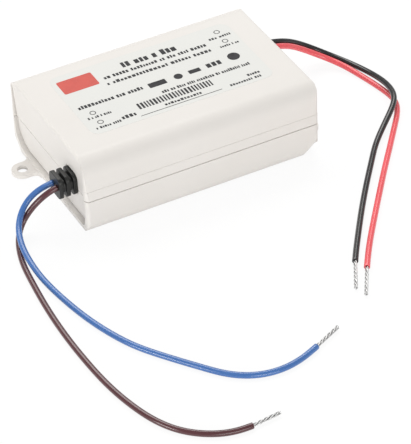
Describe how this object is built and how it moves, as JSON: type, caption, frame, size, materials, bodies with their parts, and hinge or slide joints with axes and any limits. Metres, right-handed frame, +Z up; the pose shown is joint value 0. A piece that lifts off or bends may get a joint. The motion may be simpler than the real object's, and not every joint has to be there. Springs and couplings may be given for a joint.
{
  "type": "led driver",
  "caption": "Plastic-cased LED driver: a flat seamed box with diagonal mounting ears and a flanged bushing with a lead pair at each end.",
  "frame": {"origin": "middle of the underside", "axes": "+X along the case from the input end to the output end, +Y from the front side to the rear side, +Z up"},
  "size_m": [0.1506, 0.1614, 0.028],
  "materials": {
    "case_plastic": "fine satin moulding, warm white",
    "bushing_plastic": "satin black moulding",
    "blue_pvc": "extruded sleeve, soft gloss",
    "brown_pvc": "extruded sleeve, soft gloss",
    "black_pvc": "extruded sleeve, soft gloss",
    "red_pvc": "extruded sleeve, soft gloss",
    "tinned_strand": "tinned copper strands, twisted",
    "board": "solder-masked laminate",
    "dark_moulding": "moulded epoxy",
    "pale_moulding": "moulded epoxy",
    "ferrite": "sintered ferrite",
    "copper_winding": "enamelled copper wire",
    "winding_tape": "polyester tape",
    "film_box": "moulded box",
    "disc_coating": "dipped coating",
    "fuse_sleeve": "heat-shrink sleeve",
    "can_sleeve": "shrunk sleeve",
    "sink_metal": "sheared sheet"
  },
  "bodies": {
    "root": {"lower_case": "case_plastic", "upper_cover": "case_plastic", "input_bushing": "bushing_plastic", "output_bushing": "bushing_plastic", "circuit_board": "board", "fuse": "fuse_sleeve", "varistor": "disc_coating", "filter_capacitor": "film_box", "line_choke_core": "ferrite", "line_choke_winding": "copper_winding", "bridge_rectifier": "dark_moulding", "bulk_capacitor": "can_sleeve", "heatsink": "sink_metal", "switching_transistor": "dark_moulding", "transformer_core": "ferrite", "transformer_winding": "winding_tape", "output_diode": "dark_moulding", "output_capacitor_1": "can_sleeve", "output_capacitor_2": "can_sleeve", "optocoupler": "pale_moulding", "controller_chip": "dark_moulding", "blue_tail": "blue_pvc", "blue_lead": "blue_pvc", "blue_tip": "tinned_strand", "brown_tail": "brown_pvc", "brown_lead": "brown_pvc", "brown_tip": "tinned_strand", "black_tail": "black_pvc", "black_lead": "black_pvc", "black_tip": "tinned_strand", "red_tail": "red_pvc", "red_lead": "red_pvc", "red_tip": "tinned_strand"}
  },
  "joints": []
}
